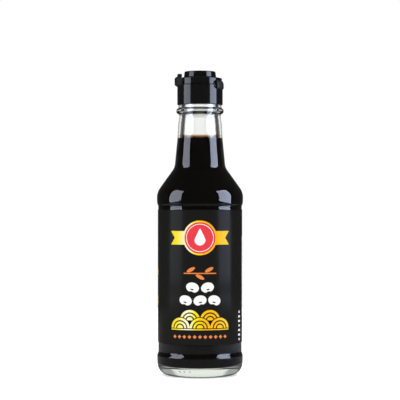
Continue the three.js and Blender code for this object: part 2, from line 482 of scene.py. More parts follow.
# Push-up, bearing ring, heel and panel
def drawBase(bm):
    domeRadius = glass["bearingRadius"] - glass["bearingWidth"]
    sphere = (domeRadius ** 2 + glass["pushUp"] ** 2) / (2 * glass["pushUp"])
    domeDeg = math.degrees(math.asin(domeRadius / sphere))
    panelBottom = (glass["panelRadius"], glass["panelBottomZ"])
    pen = Pen(bm, 0, glass["pushUp"])
    pen.arcTo(0, glass["pushUp"] - sphere, -domeDeg, steps=10)
    pen.lineTo(glass["bearingRadius"], 0)
    pen.arcTo(glass["bearingRadius"], glass["heelArc"], 90, steps=30)
    pen.lineTo(glass["heelTop"][0], glass["heelTop"][1] - glass["heelRow"])
    pen.lineTo(*glass["heelTop"])
    stepTo(pen, glass["heelTop"], panelBottom, steps=7)
    row, topZ = glass["panelRow"], glass["panelTopZ"]
    for z in (glass["panelBottomZ"] + row, topZ - row, topZ):
        pen.lineTo(glass["panelRadius"], z)
    return pen


# Step out to the shoulder, cone and neck
def drawShoulder(pen):
    stepDeg, leanDeg = glass["stepDeg"], glass["leanDeg"]
    pen.turnArc(90, glass["stepArc"], -stepDeg, steps=9)
    pen.turnArc(90 - stepDeg, glass["stepArc"], stepDeg - leanDeg, steps=8)
    pen.lineTo(*polar(shoulderCentre, glass["shoulderArc"], -leanDeg))
    pen.arcTo(*shoulderCentre, leanDeg + glass["coneDeg"], steps=18)
    pen.lineTo(*polar(neckCentre, glass["neckFillet"], 180 + glass["coneDeg"]))
    pen.arcTo(*neckCentre, -neckTurn, steps=12)
    for name in ("neckMiddle", "neckTop", "undercut"):
        pen.lineTo(*glass[name])


# Bead, collar and the mouth under the cap
def drawMouth(pen):
    lowFillet, lowDeg = beadFillet(glass["undercut"][0], glass["beadFillet"], -1)
    highFillet, highDeg = beadFillet(glass["collarRadius"], glass["collarFillet"], 1)
    lip, lipZ = glass["lipArc"], mouthZ - glass["lipArc"]
    pen.lineTo(glass["undercut"][0], lowFillet[1])
    pen.arcTo(*lowFillet, -lowDeg, steps=8)
    pen.arcTo(*glass["beadCentre"], lowDeg + highDeg, steps=26)
    pen.arcTo(*highFillet, -highDeg, steps=6)
    pen.lineTo(glass["collarRadius"], glass["collarTopZ"] - glass["collarEdge"])
    pen.turnArc(90, glass["collarEdge"], 90, steps=4)
    pen.lineTo(glass["finishRadius"], glass["collarTopZ"])
    pen.lineTo(glass["finishRadius"], lipZ)
    pen.arcTo(glass["finishRadius"] - lip, lipZ, 90, steps=6)
    pen.lineTo(glass["mouthRadius"] + lip, mouthZ)
    pen.arcTo(glass["mouthRadius"] + lip, lipZ, 90, steps=6)
    for point in (*glass["innerStep"], glass["innerTop"], glass["innerMiddle"]):
        pen.lineTo(*point)


# Inner wall from the neck down to the middle of the floor; sink moves it into the glass
def drawInside(pen, sink):
    bodyRadius = glass["panelRadius"] - glass["bodyWall"] + sink
    cornerZ = glass["floorZ"] + glass["floorCorner"]
    cornerRadius = bodyRadius - glass["floorCorner"] - sink
    floorRise = glass["floorRise"]
    floorRadius = (cornerRadius ** 2 + floorRise ** 2) / (2 * floorRise)
    floorDeg = math.degrees(math.asin(cornerRadius / floorRadius))
    neckArc = glass["neckFillet"] + glass["neckWall"] - sink
    shoulderArc = glass["shoulderArc"] - glass["shoulderWall"] + sink
    pen.lineTo(*polar(neckCentre, neckArc, 180 + glass["taperDeg"]))
    pen.arcTo(*neckCentre, neckTurn, steps=12)
    pen.lineTo(*polar(shoulderCentre, shoulderArc, glass["coneDeg"]))
    pen.arcTo(*shoulderCentre, -glass["coneDeg"], steps=14)
    pen.lineTo(bodyRadius, glass["panelTopZ"] - glass["innerRow"])
    pen.lineTo(bodyRadius, cornerZ)
    pen.arcTo(cornerRadius, cornerZ, -90, steps=18)
    pen.arcTo(0, glass["floorZ"] - sink + floorRise - floorRadius, floorDeg, steps=8)


# Marks moulded into the glass: three dots and a knurled ring on the heel, and seams up the sides
marks = {
    "dotPlaces": (-11.0, -8.5, -5.6), "dotZ": 3.6, "dotRadius": 0.6, "dotHeight": 0.32,
    "dotCuts": 2, "dotCutReaches": (2.2, 1.4),
    "knurls": 54, "knurlFromDeg": -90, "knurlToDeg": -62, "knurlFadeDeg": 6, "knurlDepth": 0.24,
    "knurlSlack": 0.02,
    "seamHeight": 0.05, "seamSlack": 0.01,
}


def pressKnurls(bm):
    centre = Vector((glass["bearingRadius"] * mm, 0, glass["heelArc"] * mm))
    fromDeg, toDeg = marks["knurlFromDeg"], marks["knurlToDeg"]
    for vert in bm.verts:
        radius = math.hypot(vert.co.x, vert.co.y)
        away = Vector((radius, 0, vert.co.z)) - centre
        deg = math.degrees(math.atan2(away.z, away.x))
        onArc = abs(away.length - glass["heelArc"] * mm) < marks["knurlSlack"] * mm
        if onArc and fromDeg < deg < toDeg:
            wave = 0.5 - 0.5 * math.cos(marks["knurls"] * math.atan2(vert.co.y, vert.co.x))
            inside = min(deg - fromDeg, toDeg - deg)
            away.length -= marks["knurlDepth"] * mm * wave * smoothStep(0, marks["knurlFadeDeg"], inside)
            scale = (centre.x + away.x) / radius
            vert.co = Vector((vert.co.x * scale, vert.co.y * scale, centre.z + away.z))


def heelRadiusAt(z):
    drop = glass["heelArc"] - z
    return glass["bearingRadius"] + math.sqrt(glass["heelArc"] ** 2 - drop * drop)


def raiseDots(bm):
    radius = heelRadiusAt(marks["dotZ"])
    for place in marks["dotPlaces"]:
        dot = Vector((place, -math.sqrt(radius * radius - place * place), marks["dotZ"])) * mm
        for reach in marks["dotCutReaches"]:
            near = [e for e in bm.edges if all((v.co - dot).length < reach * mm for v in e.verts)]
            bmesh.ops.subdivide_edges(bm, edges=near, cuts=marks["dotCuts"], use_grid_fill=True)
        for vert in bm.verts:
            apart = (vert.co - dot).length / (marks["dotRadius"] * mm)
            if apart < 1:
                vert.co += vert.normal * marks["dotHeight"] * mm * math.sqrt(1 - apart * apart)


# A low ridge up both sides of the outer wall, kept inside the widest radius
def raiseSeams(bm):
    lowZ, highZ = glass["heelArc"] * mm, glass["undercut"][1] * mm
    widest = glass["shoulderRadius"] * mm
    for vert in bm.verts:
        onSeam = abs(vert.co.y) < marks["seamSlack"] * mm and lowZ < vert.co.z < highZ
        outside = math.hypot(vert.co.x, vert.co.y) > glass["mouthRadius"] * mm
        if onSeam and outside and vert.normal.x * vert.co.x > 0:
            vert.co += vert.normal * marks["seamHeight"] * mm
            vert.co.x = min(max(vert.co.x, -widest), widest)


def makeBottle():
    bm = bmesh.new()
    pen = drawBase(bm)
    drawShoulder(pen)
    drawMouth(pen)
    drawInside(pen, 0)
    spinRound(bm, glass["steps"])
    bm.normal_update()
    raiseSeams(bm)
    pressKnurls(bm)
    bm.normal_update()
    raiseDots(bm)
    finishPiece(bm, "glassBottle", clearGlass, "clear_glass", "bottle", sharpDeg=glass["sharpDeg"])


# Sauce: it reaches just into the glass wall; a thin layer on top climbs the wall at its edge
sauce = {
    "sink": 0.05, "levelZ": 131.4, "layer": 0.4, "rise": 1.5, "riseCurve": 3, "reach": 2.4, "edge": 0.12,
    "steps": 160, "curveSteps": 14, "sharpDeg": 60,
}


def innerNeckRadius(z):
    (lowRadius, lowZ), (highRadius, highZ) = glass["innerMiddle"], glass["innerTop"]
    return lowRadius + (highRadius - lowRadius) * (z - lowZ) / (highZ - lowZ)


def makeSauceBody():
    bm = bmesh.new()
    topZ = sauce["levelZ"] - sauce["layer"] / 2
    pen = Pen(bm, 0, topZ)
    pen.lineTo(innerNeckRadius(topZ) + sauce["sink"], topZ)
    drawInside(pen, sauce["sink"])
    spinRound(bm, sauce["steps"])
    finishPiece(
        bm, "sauceBody", darkSauce, "dark_sauce", "sauce",
        sharpDeg=sauce["sharpDeg"], topMaterial=sauceSurface)


def makeSauceTop():
    bm = bmesh.new()
    levelZ, rise, reach = sauce["levelZ"], sauce["rise"], sauce["reach"]
    bottomZ, rimZ = levelZ - sauce["layer"], levelZ + rise
    rimRadius = innerNeckRadius(rimZ)
    startRadius = rimRadius - sauce["edge"] - reach
    pen = Pen(bm, 0, bottomZ)
    pen.lineTo(innerNeckRadius(bottomZ) + sauce["sink"], bottomZ)
    pen.lineTo(rimRadius + sauce["sink"], rimZ)
    for step in range(sauce["curveSteps"], -1, -1):
        part = step / sauce["curveSteps"]
        pen.lineTo(startRadius + reach * part, levelZ + rise * part ** sauce["riseCurve"])
    pen.lineTo(0, levelZ)
    spinRound(bm, sauce["steps"])
    finishPiece(bm, "sauceTop", thinSauce, "dark_sauce", "sauce", sharpDeg=sauce["sharpDeg"])


makeBottle()
makeSauceBody()
makeSauceTop()
print("glass and sauce made")


# Wrap label, in millimetres, and its print; the print is drawn flat and then bent round the label
label = {
    "innerRadius": 23.12, "outerRadius": 23.38, "bottomZ": 18.6, "topZ": 91.7, "seam": 2.0, "steps": 240,
    "edge": 0.06, "rimAngle": 0.5, "rimSlack": 0.05, "sharpDeg": 35,
    "inkLift": 0.02, "inkThickness": 0.03, "inkSharpDeg": 30, "cutEvery": 0.5, "cutSlack": 0.0001,
}


def makeLabel():
    bm = bmesh.new()
    inner, outer, low, high = label["innerRadius"], label["outerRadius"], label["bottomZ"], label["topZ"]
    drawClosed(bm, ((inner, low), (outer, low), (outer, high), (inner, high)))
    seamDeg = math.degrees(label["seam"] / 2 / outer)
    sweepClosed(bm, 90 + seamDeg, 450 - seamDeg, label["steps"])
    rimFrom = (outer - label["rimSlack"]) * mm
    rims = [
        e for e in bentEdges(bm, label["rimAngle"])
        if all(math.hypot(v.co.x, v.co.y) > rimFrom for v in e.verts)]
    roundOff(bm, rims, "EDGES", label["edge"], segments=2)
    finishPiece(bm, "wrapLabel", labelFilm, "label_film", "label", sharpDeg=label["sharpDeg"])


# A flat drawing lies in the plane y = 0, with x along the label and z up it
def flatPlace(x, z, turnDeg=0.0, scaleX=1.0):
    upright = Matrix.Rotation(math.radians(90), 4, "X")
    return (Matrix.Translation((x * mm, 0, z * mm)) @ Matrix.Rotation(math.radians(-turnDeg), 4, "Y")
            @ Matrix.Diagonal((scaleX, 1, 1, 1)) @ upright)


def addCircle(bm, radius, place, segments, filled=True):
    return bmesh.ops.create_circle(
        bm, cap_ends=filled, segments=segments, radius=radius * mm, matrix=place)["verts"]


def addRing(bm, x, z, radius, width, segments=72):
    loops = []
    for size in (radius, radius - width):
        verts = addCircle(bm, size, flatPlace(x, z), segments, filled=False)
        loops += list({e for v in verts for e in v.link_edges})
    bmesh.ops.bridge_loops(bm, edges=loops)


def addBlock(bm, x, z, width, height, turnDeg=0.0):
    place = flatPlace(x, z, turnDeg) @ Matrix.Diagonal((width * mm, height * mm, 1, 1))
    bmesh.ops.create_grid(bm, x_segments=1, y_segments=1, size=0.5, matrix=place)


# Half rings one inside another, like the fans of a wave pattern
def addFan(bm, x, z, bands, segments=36):
    for outer, inner in bands:
        ends = [bm.verts.new(((x + reach) * mm, 0, z * mm)) for reach in (outer, inner)]
        edge = bm.edges.new(ends)
        spin(bm, [*ends, edge], (x * mm, 0, z * mm), (0, -1, 0), 180, segments)
    bmesh.ops.remove_doubles(bm, verts=bm.verts[:], dist=mergeGap * mm)


# Cuts a flat drawing into narrow strips, bends it round the label and gives it thickness
def bendOntoLabel(bm, layer):
    xs = [v.co.x for v in bm.verts]
    cut = math.floor(min(xs) / mm) * mm
    while cut < max(xs):
        everything = bm.verts[:] + bm.edges[:] + bm.faces[:]
        bmesh.ops.bisect_plane(
            bm, geom=everything, dist=label["cutSlack"] * mm, plane_co=(cut, 0, 0), plane_no=(1, 0, 0))
        cut += label["cutEvery"] * mm
    radius = (label["outerRadius"] + label["inkLift"] * layer) * mm
    for vert in bm.verts:
        angle = vert.co.x / (label["outerRadius"] * mm)
        vert.co = Vector((radius * math.sin(angle), -radius * math.cos(angle), vert.co.z))
    bm.normal_update()
    for face in bm.faces:
        middle = face.calc_center_median()
        if face.normal.x * middle.x + face.normal.y * middle.y < 0:
            face.normal_flip()
    bm.normal_update()
    bmesh.ops.solidify(bm, geom=bm.faces[:], thickness=label["inkThickness"] * mm)
    bmesh.ops.recalc_face_normals(bm, faces=bm.faces[:])


def printPiece(name, material, layer, draw):
    bm = bmesh.new()
    draw(bm)
    bendOntoLabel(bm, layer)
    finishPiece(bm, name, material, "label_film", sharpDeg=label["inkSharpDeg"])


# Front design, from the top: ribbon and roundel, sprig, beans, waves and lozenges, with ticks at the side
ribbon = {"half": 17.2, "height": 7.4, "notch": 2.6}
roundel = {
    "z": 76.5, "radius": 9.4, "rim": 0.9, "segments": 72, "ringRadius": 7.6, "ringWidth": 0.35,
    "dropDown": 1.1, "dropRadius": 3.0, "dropSegments": 64, "dropTaper": 0.35, "dropRise": 3.2,
}


def drawRibbon(bm):
    half = ribbon["half"]
    for side in (-1, 1):
        addBlock(bm, side * half / 2, roundel["z"], half, ribbon["height"])
        tip = [v for v in bm.verts if abs(v.co.x - side * half * mm) < mergeGap * mm]
        edges = list({e for v in tip for e in v.link_edges if e.other_vert(v) in tip})
        made = bmesh.ops.subdivide_edges(bm, edges=edges, cuts=1)
        bmesh.ops.translate(bm, verts=onlyVerts(made["geom_inner"]), vec=(-side * ribbon["notch"] * mm, 0, 0))


def drawRoundelRim(bm):
    addRing(bm, 0, roundel["z"], roundel["radius"], roundel["rim"])


def drawRoundel(bm):
    addCircle(bm, roundel["radius"] - roundel["rim"], flatPlace(0, roundel["z"]), roundel["segments"])


# A drop in the roundel, as a disc drawn out to a point, inside a thin ring
def drawRoundelWhite(bm):
    middle, radius = roundel["z"] - roundel["dropDown"], roundel["dropRadius"]
    for vert in addCircle(bm, radius, flatPlace(0, middle), roundel["dropSegments"]):
        up = (vert.co.z / mm - middle) / radius
        if up > 0:
            vert.co.x *= (1 - up) ** roundel["dropTaper"] if up < 1 else 0.0
            vert.co.z += roundel["dropRise"] * mm * up ** 2
    addRing(bm, 0, roundel["z"], roundel["ringRadius"], roundel["ringWidth"])


# Three leaves on a stem, each a stretched disc with a place, a height over the stem's line and a lean
sprig = {
    "z": 57.5, "stemDrop": 0.2, "stemLength": 18.0, "stemWidth": 0.6, "leafRadius": 0.98, "leafStretch": 2.6,
    "leafSegments": 40, "leaves": ((-5.0, 1.75, 28), (0.0, -2.15, -28), (5.0, 1.75, 28)),
}


def drawSprig(bm):
    addBlock(bm, 0, sprig["z"] - sprig["stemDrop"], sprig["stemLength"], sprig["stemWidth"])
    for x, up, lean in sprig["leaves"]:
        place = flatPlace(x, sprig["z"] + up, lean, sprig["leafStretch"])
        addCircle(bm, sprig["leafRadius"], place, sprig["leafSegments"])


# A bean lies at a lean, with a notch in its lower side and an eye above the notch
beans = {
    "rows": ((49.6, (-4.1, 4.1)), (42.6, (-8.0, 0.0, 8.0))), "radius": 2.75, "stretch": 1.3, "segments": 72,
    "leanDeg": 14, "notch": 0.7, "notchWidth": 1.1, "eyeRadius": 0.36, "eyeDrop": 1.05, "eyeStretch": 2.6,
    "eyeSegments": 32,
}


def placeBean(bm, verts, x, z, leanDeg):
    lean = Matrix.Rotation(math.radians(-leanDeg), 3, "Y")
    bmesh.ops.rotate(bm, verts=verts, cent=(0, 0, 0), matrix=lean)
    bmesh.ops.translate(bm, verts=verts, vec=(x * mm, 0, z * mm))


def beanPlaces():
    for z, places in beans["rows"]:
        for index, x in enumerate(places):
            yield x, z, beans["leanDeg"] if index % 2 else -beans["leanDeg"]


def drawBeans(bm):
    for x, z, lean in beanPlaces():
        verts = addCircle(bm, beans["radius"], flatPlace(0, 0, 0, beans["stretch"]), beans["segments"])
        for vert in verts:
            if vert.co.z < 0:
                across = vert.co.x / (beans["notchWidth"] * mm)
                vert.co.z += beans["notch"] * mm * math.exp(-across ** 2)
        placeBean(bm, verts, x, z, lean)


def drawBeanEyes(bm):
    for x, z, lean in beanPlaces():
        place = flatPlace(0, -beans["eyeDrop"], 0, beans["eyeStretch"])
        placeBean(bm, addCircle(bm, beans["eyeRadius"], place, beans["eyeSegments"]), x, z, lean)


# Waves: two fans behind and three before, with a dark edge between them and a bar below
waves = {
    "z": 27.6, "radius": 5.6, "bands": ((5.6, 4.3), (3.6, 2.5), (1.8, 0.0)), "backRise": 4.3,
    "shadeWidth": 0.5, "barDrop": 0.75, "barWidth": 33.6, "barHeight": 0.55,
}
frontPlaces = (-2 * waves["radius"], 0.0, 2 * waves["radius"])


def drawWavesBack(bm):
    for x in (-waves["radius"], waves["radius"]):
        addFan(bm, x, waves["z"] + waves["backRise"], waves["bands"])


def drawWaveShade(bm):
    for x in frontPlaces:
        addFan(bm, x, waves["z"], ((waves["radius"] + waves["shadeWidth"], 0.0),))


def drawWavesFront(bm):
    for x in frontPlaces:
        addFan(bm, x, waves["z"], waves["bands"])
    addBlock(bm, 0, waves["z"] - waves["barDrop"], waves["barWidth"], waves["barHeight"])


lozenges = {"z": 22.9, "count": 11, "step": 2.9, "size": 1.45, "turnDeg": 45}
ticks = {
    "x": 27.2, "fromZ": 20.6, "count": 7, "step": 2.5, "width": 2.4, "height": 1.1,
    "shortEvery": 3, "short": 0.6,
}


def drawLozenges(bm):
    size, start = lozenges["size"], -lozenges["step"] * (lozenges["count"] - 1) / 2
    for index in range(lozenges["count"]):
        addBlock(bm, start + index * lozenges["step"], lozenges["z"], size, size, lozenges["turnDeg"])


def drawTicks(bm):
    for index in range(ticks["count"]):
        wide = ticks["width"] * (1.0 if index % ticks["shortEvery"] else ticks["short"])
        addBlock(bm, ticks["x"], ticks["fromZ"] + index * ticks["step"], wide, ticks["height"])


# Back design: a pale panel with ruled lines on one side, rows of fans on the other
back = {
    "x": 46.0, "panelZ": 55.0, "panelSize": (26.0, 44.0),
    "rules": 12, "ruleFromZ": 36.5, "ruleStep": 3.3, "ruleSize": (22.0, 0.3),
    "boldEvery": 4, "boldSize": (23.6, 0.7),
    "fanRows": 4, "fanFromZ": 40.0, "fanStep": 8.0, "fanShift": 2.8, "fanApart": 11.2,
    "fanBands": ((5.0, 4.2), (3.5, 2.7), (2.0, 1.2)),
}


def drawBackPanel(bm):
    addBlock(bm, back["x"], back["panelZ"], *back["panelSize"])


def drawBackRules(bm):
    for index in range(back["rules"]):
        size = back["ruleSize"] if index % back["boldEvery"] else back["boldSize"]
        addBlock(bm, back["x"], back["ruleFromZ"] + index * back["ruleStep"], *size)


def drawBackWaves(bm):
    for row in range(back["fanRows"]):
        middle = -back["x"] + (-back["fanShift"] if row % 2 else back["fanShift"])
        z = back["fanFromZ"] + row * back["fanStep"]
        for side in (-0.5, 0.5):
            addFan(bm, middle + side * back["fanApart"], z, back["fanBands"])


makeLabel()
printPiece("printRibbon", goldInk, 1, drawRibbon)
printPiece("printRoundelRim", goldInk, 2, drawRoundelRim)
printPiece("printRoundel", redInk, 2, drawRoundel)
printPiece("printDrop", whiteInk, 3, drawRoundelWhite)
printPiece("printBeans", whiteInk, 1, drawBeans)
printPiece("printBeanEyes", labelFilm, 2, drawBeanEyes)
printPiece("printWavesBack", goldInk, 1, drawWavesBack)
printPiece("printWaveShade", labelFilm, 2, drawWaveShade)
printPiece("printWavesFront", goldInk, 3, drawWavesFront)
printPiece("printLozenges", orangeInk, 1, drawLozenges)
printPiece("printSprig", orangeInk, 1, drawSprig)
printPiece("printTicks", whiteInk, 1, drawTicks)
printPiece("printBackPanel", creamInk, 1, drawBackPanel)
printPiece("printBackRules", labelFilm, 2, drawBackRules)
printPiece("printBackWaves", goldInk, 1, drawBackWaves)
print("label and print made")


# Cap: base ring, shut lid, thumb tab and hinge, in millimetres
cap = {
    "steps": 360, "rowEvery": 0.24, "sharpDeg": 50, "radius": 12.6, "bottomZ": 149.7, "bottomEdge": 0.3,
    "socketRadius": 10.9, "socketTopZ": 159.7, "socketEdge": 0.2,
    "partingZ": 160.7, "gap": 0.24, "partingEdge": 0.14,
    "lidRadius": 12.15, "lidShoulderZ": 164.5, "lidSlopeDeg": 169, "lidEdge": 0.45,
    "discBase": 8.9, "discLeanDeg": 98, "discFoot": 0.25, "discEdge": 0.5, "discTopDeg": 178, "dome": 0.2,
    "gateRadius": 0.9, "gateDepth": 0.15, "gateLean": 0.1,
}
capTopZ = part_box("cap")[1][2] / mm

# Hinge side: an oval recess in the wall; its powers set how square the oval is each way
recess = {
    "halfDeg": 53.5, "halfHeight": 2.6, "z": 160.65, "depth": 0.85, "slope": 0.16, "skin": 0.3,
    "acrossPower": 6, "upPower": 3, "ovalPower": 0.25,
}


def pressRecess(bm):
    for vert in bm.verts:
        radius = math.hypot(vert.co.x, vert.co.y)
        across = abs(math.degrees(math.atan2(vert.co.y, vert.co.x))) / recess["halfDeg"]
        up = abs(vert.co.z / mm - recess["z"]) / recess["halfHeight"]
        oval = (across ** recess["acrossPower"] + up ** recess["upPower"]) ** recess["ovalPower"]
        if radius > (cap["lidRadius"] - recess["skin"]) * mm and oval < 1:
            depth = recess["depth"] * (1 - smoothStep(1 - recess["slope"], 1.0, oval))
            scale = 1 - depth * mm / radius
            vert.co.x *= scale
            vert.co.y *= scale


# Upright wall in rows close enough for the recess
def wallTo(pen, radius, fromZ, toZ):
    rows = max(1, round(abs(toZ - fromZ) / cap["rowEvery"]))
    for row in range(1, rows + 1):
        pen.lineTo(radius, fromZ + (toZ - fromZ) * row / rows)


def makeCapBase():
    bm = bmesh.new()
    topZ = cap["partingZ"] - cap["gap"] / 2
    edge, bevel = cap["bottomEdge"], cap["partingEdge"]
    pen = Pen(bm, 0, cap["socketTopZ"])
    pen.lineTo(cap["socketRadius"], cap["socketTopZ"])
    pen.lineTo(cap["socketRadius"], cap["bottomZ"] + cap["socketEdge"])
    pen.turnArc(-90, cap["socketEdge"], 90, steps=4)
    pen.lineTo(cap["radius"] - edge, cap["bottomZ"])
    pen.turnArc(0, edge, 90, steps=6)
    wallTo(pen, cap["radius"], cap["bottomZ"] + edge, topZ - bevel)
    pen.turnArc(90, bevel, 90, steps=4)
    pen.lineTo(0, topZ)
    spinRound(bm, cap["steps"])
    pressRecess(bm)
    finishPiece(bm, "capBase", capPlastic, "black_plastic", "cap", sharpDeg=cap["sharpDeg"])


def makeCapLid():
    bm = bmesh.new()
    bottomZ = cap["partingZ"] + cap["gap"] / 2
    bevel, edge = cap["partingEdge"], cap["lidEdge"]
    slope, lean, foot = cap["lidSlopeDeg"], cap["discLeanDeg"], cap["discFoot"]
    edgeZ = capTopZ - cap["dome"] - cap["discEdge"]
    gateZ = capTopZ - cap["gateDepth"]
    pen = Pen(bm, 0, bottomZ)
    pen.lineTo(cap["lidRadius"] - bevel, bottomZ)
    pen.turnArc(0, bevel, 90, steps=4)
    wallTo(pen, cap["lidRadius"], bottomZ + bevel, cap["lidShoulderZ"] - edge)
    pen.turnArc(90, edge, slope - 90, steps=6)
    radius, z = pen.place()
    run = radius - cap["discBase"] - foot
    pen.lineTo(cap["discBase"] + foot, z - run * math.tan(math.radians(slope)))
    pen.turnArc(slope, foot, lean - slope, steps=5)
    radius, z = pen.place()
    pen.lineTo(radius + (edgeZ - z) / math.tan(math.radians(lean)), edgeZ)
    pen.turnArc(lean, cap["discEdge"], cap["discTopDeg"] - lean, steps=7)
    pen.lineTo(cap["gateRadius"], capTopZ)
    pen.lineTo(cap["gateRadius"] - cap["gateLean"], gateZ)
    pen.lineTo(0, gateZ)
    spinRound(bm, cap["steps"])
    pressRecess(bm)
    finishPiece(
        bm, "capLid", capPlastic, "black_plastic", "cap", sharpDeg=cap["sharpDeg"], topMaterial=capTopPlastic)


# A curved block: an outline with rounded corners swept round part of the cap, its ends rounded too
blockEndAngle = 1.2  # radians: the bend where a side meets an end


def sweepBlock(bm, block, middleDeg):
    drawClosed(bm, block["outline"])
    bmesh.ops.contextual_create(bm, geom=bm.edges[:])
    roundOff(bm, bm.verts[:], "VERTICES", block["cornerRound"], segments=4, clamp=True)
    bmesh.ops.delete(bm, geom=bm.faces[:], context="FACES_ONLY")
    sweepClosed(bm, middleDeg - block["halfDeg"], middleDeg + block["halfDeg"], block["steps"])
    roundOff(bm, bentEdges(bm, blockEndAngle), "EDGES", block["edge"], segments=4)
    bmesh.ops.recalc_face_normals(bm, faces=bm.faces[:])


# Hinge strap in the recess: it bulges across the parting line and falls away to its ends
strap = {
    "halfDeg": 41, "steps": 40, "cornerRound": 0.5, "edge": 0.3, "fall": 0.55,
    "outline": (
        (11.2, 158.1), (12.55, 157.95), (13.2, 158.9), (13.2, 161.1), (12.75, 162.5), (12.3, 163.1),
        (11.2, 163.0)),
}


def makeHingeStrap():
    bm = bmesh.new()
    sweepBlock(bm, strap, 0)
    for vert in bm.verts:
        away = math.degrees(math.atan2(vert.co.y, vert.co.x)) / strap["halfDeg"]
        scale = 1 - strap["fall"] * mm * away * away / math.hypot(vert.co.x, vert.co.y)
        vert.co.x *= scale
        vert.co.y *= scale
    finishPiece(bm, "capHinge", hingePaintedSheenPlastic, "black_plastic", "cap", sharpDeg=cap["sharpDeg"])


# Thumb tab: a block round part of the lid, with a knob to lift it by
tab = {
    "halfDeg": 40, "steps": 40, "cornerRound": 0.42, "edge": 0.5,
    "outline": (
        (11.0, 160.9), (12.7, 160.0), (13.1, 159.95), (14.1, 160.8), (14.1, 163.6), (13.3, 164.45),
        (11.0, 164.45)),
}
knob = {
    "halfDeg": 20, "steps": 20, "cornerRound": 0.42, "edge": 0.42,
    "outline": (
        (11.2, 161.2), (12.6, 160.3), (13.05, 160.2), (14.1, 160.9), (14.1, 164.2), (13.5, 165.05),
        (12.75, 165.25), (12.55, 166.75), (10.5, 166.75)),
}


def makeTab():
    for name, block in (("capTab", tab), ("capTabKnob", knob)):
        bm = bmesh.new()
        sweepBlock(bm, block, 180)
        finishPiece(bm, name, tabPaintedSheenPlastic, "black_plastic", "cap", sharpDeg=cap["sharpDeg"])


makeCapBase()
makeCapLid()
makeHingeStrap()
makeTab()
print("cap made")


# Mix of two colours; a number stands for a grey
mixSockets = {"colors": (6, 7), "result": 2}  # where a Mix node has its colour sockets


def mixColors(nodes, factor, first, second):
    mix = nodes.new("ShaderNodeMix")
    mix.data_type = "RGBA"
    join(factor, mix.inputs[0])
    for index, value in zip(mixSockets["colors"], (first, second)):
        if isinstance(value, float):
            mix.inputs[index].default_value = (value, value, value, 1)
        else:
            join(value, mix.inputs[index])
    return mix.outputs[mixSockets["result"]]


# The floor is white to the eye and close under the glass; in reflections it is dim, brighter to the sides
floor = {
    "radius": 0.55, "segments": 96, "grey": 0.93, "rough": 0.9, "glow": 0.55, "span": 0.35,
    "mirrored": [
        (0.0, (0.6, 0.61, 0.66)), (0.36, (0.24, 0.24, 0.26)), (0.64, (0.24, 0.24, 0.27)),
        (1.0, (0.85, 0.9, 1.1))],
    "far": (0.26, 0.2), "farGlow": 0.05, "near": (0.036, 0.029), "nearGlow": 0.3,
    "under": [
        (0.0, (0.95, 0.96, 0.93)), (0.12, (0.9, 0.91, 0.88)), (0.2, (0.06, 0.06, 0.06)),
        (1.0, (0.05, 0.05, 0.05))],
}


def makeFloor():
    bm = bmesh.new()
    bmesh.ops.create_circle(bm, cap_ends=True, segments=floor["segments"], radius=floor["radius"])
    material, nodes, shader = newMaterial("paleFloor", {
        "Base Color": (floor["grey"], floor["grey"], floor["grey"], 1), "Roughness": floor["rough"],
        "Specular IOR Level": 0.0, "Emission Color": (1, 1, 1, 1), "Emission Strength": floor["glow"]})
    coords = nodes.new("ShaderNodeTexCoord")
    path = nodes.new("ShaderNodeLightPath")
    length = nodes.new("ShaderNodeVectorMath")
    length.operation = "LENGTH"
    glow = nodes.new("ShaderNodeEmission")
    mix = nodes.new("ShaderNodeMixShader")
    join(coords.outputs["Object"], length.inputs[0])
    away, seenThrough = length.outputs["Value"], path.outputs["Is Transmission Ray"]
    sideways = splitVector(nodes, coords.outputs["Object"])["X"]
    across = mapRange(nodes, sideways, (-floor["span"], floor["span"]))
    mirrored = addRamp(nodes, across, floor["mirrored"])
    within = mapRange(nodes, away, floor["far"], soft=True)
    mirrored = mixColors(nodes, within, floor["farGlow"], mirrored)
    close = mapRange(nodes, away, floor["near"], soft=True)
    mirrored = mixColors(nodes, close, mirrored, floor["nearGlow"])
    under = addRamp(nodes, away, floor["under"])
    join(mixColors(nodes, seenThrough, mirrored, under), glow.inputs["Color"])
    join(addMath(nodes, "MAXIMUM", path.outputs["Is Glossy Ray"], seenThrough), mix.inputs["Fac"])
    join(shader.outputs["BSDF"], mix.inputs[1])
    join(glow.outputs["Emission"], mix.inputs[2])
    join(mix.outputs["Shader"], nodes["Material Output"].inputs["Surface"])
    meshObject(bm, "floor", material)


# A piece of the studio that glows for one kind of light path only
def stageGlow(bm, name, color, strength, onlyFor):
    material, nodes = newMaterial(name, {})[:2]
    glow = nodes.new("ShaderNodeEmission")
    setInputs(glow, {"Color": (*color, 1), "Strength": strength})
    join(glow.outputs["Emission"], nodes["Material Output"].inputs["Surface"])
    piece = meshObject(bm, name, material)
    for path in ("camera", "diffuse", "glossy", "transmission", "shadow", "volume_scatter"):
        setattr(piece, "visible_" + path, path == onlyFor)
    return nodes, glow


# A low card round the base, seen only through the glass: white behind and before, dimmer at the sides
card = {
    "radius": 100, "height": 35, "steps": 96,
    "colors": [
        (0.0, (0.92, 0.95, 0.92)), (0.036, (0.92, 0.95, 0.92)), (0.046, (0.4, 0.42, 0.42)),
        (1.0, (0.36, 0.38, 0.38))],
}


def makeCard():
    bm = bmesh.new()
    pen = Pen(bm, card["radius"], 0)
    pen.lineTo(card["radius"], card["height"])
    spinRound(bm, card["steps"])
    nodes, glow = stageGlow(bm, "lowCard", (1, 1, 1), 1.0, "transmission")
    coords = nodes.new("ShaderNodeTexCoord")
    across = addMath(nodes, "ABSOLUTE", splitVector(nodes, coords.outputs["Object"])["X"])
    join(addRamp(nodes, across, card["colors"]), glow.inputs["Color"])


